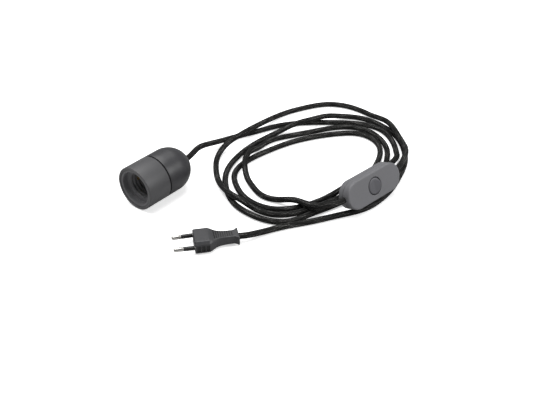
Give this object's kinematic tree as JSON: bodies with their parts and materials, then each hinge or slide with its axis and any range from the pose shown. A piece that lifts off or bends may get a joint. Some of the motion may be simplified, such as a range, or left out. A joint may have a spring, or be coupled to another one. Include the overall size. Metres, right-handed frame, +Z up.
{
  "type": "table lamp cord set",
  "caption": "Lamp cord set: a screw-in lamp holder, a braided round cord lying in loops, an inline rocker switch and a flat mains plug.",
  "frame": {"origin": "bottom centre of the lamp holder's box, on the surface that the set lies on", "axes": "+X along the lamp holder's axis from its mouth to the cord, +Z up, right-handed"},
  "size_m": [0.3229, 0.1991, 0.0436],
  "materials": {
    "holder_plastic": "dark grey moulded plastic with a fine satin grain",
    "insert_ceramic": "unglazed pressed ceramic",
    "brass": "stamped and milled brass, lightly dulled",
    "screw_steel": "plated steel",
    "switch_plastic": "grey moulded plastic with a fine satin grain",
    "rocker_plastic": "dark grey moulded plastic, smoother where it is pressed",
    "plug_plastic": "dark grey flexible moulded plastic",
    "pin_nickel": "nickel-plated brass",
    "sleeve_plastic": "black moulded insulating sleeve",
    "cord_braid": "black braided textile cover",
    "core_brown": "brown core insulation",
    "core_blue": "blue core insulation"
  },
  "bodies": {
    "holder_cord_and_plug": {"holder_skirt": "holder_plastic", "holder_cap": "holder_plastic", "holder_insert": "insert_ceramic", "centre_contact": "brass", "side_contact": "brass", "terminal_live": "brass", "terminal_neutral": "brass", "terminal_screw_live": "screw_steel", "terminal_screw_neutral": "screw_steel", "cord_grip": "holder_plastic", "wire_live": "core_brown", "wire_neutral": "core_blue", "switch_upper_shell": "switch_plastic", "switch_lower_shell": "switch_plastic", "rocker_pin": "screw_steel", "fixed_contact_in": "brass", "fixed_contact_out": "brass", "neutral_link": "brass", "clamp_screw_live_in": "screw_steel", "clamp_screw_live_out": "screw_steel", "clamp_screw_neutral_in": "screw_steel", "clamp_screw_neutral_out": "screw_steel", "cord_clamp_in": "switch_plastic", "cord_clamp_out": "switch_plastic", "case_screw_left": "screw_steel", "case_screw_right": "screw_steel", "plug_body": "plug_plastic", "pin_left": "pin_nickel", "pin_right": "pin_nickel", "pin_sleeve_left": "sleeve_plastic", "pin_sleeve_right": "sleeve_plastic", "cord_holder_side": "cord_braid", "cord_plug_side": "cord_braid"},
    "rocker": {"switch_rocker": "rocker_plastic", "contact_bridge": "brass"}
  },
  "joints": [
    {"name": "rocker_tilt", "type": "hinge", "parent": "holder_cord_and_plug", "child": "rocker", "pos_m": [0.11511, -0.16665, 0.0207], "axis": [0.0455, 0.3604, 0.9317], "range_deg": [0, 13]}
  ]
}
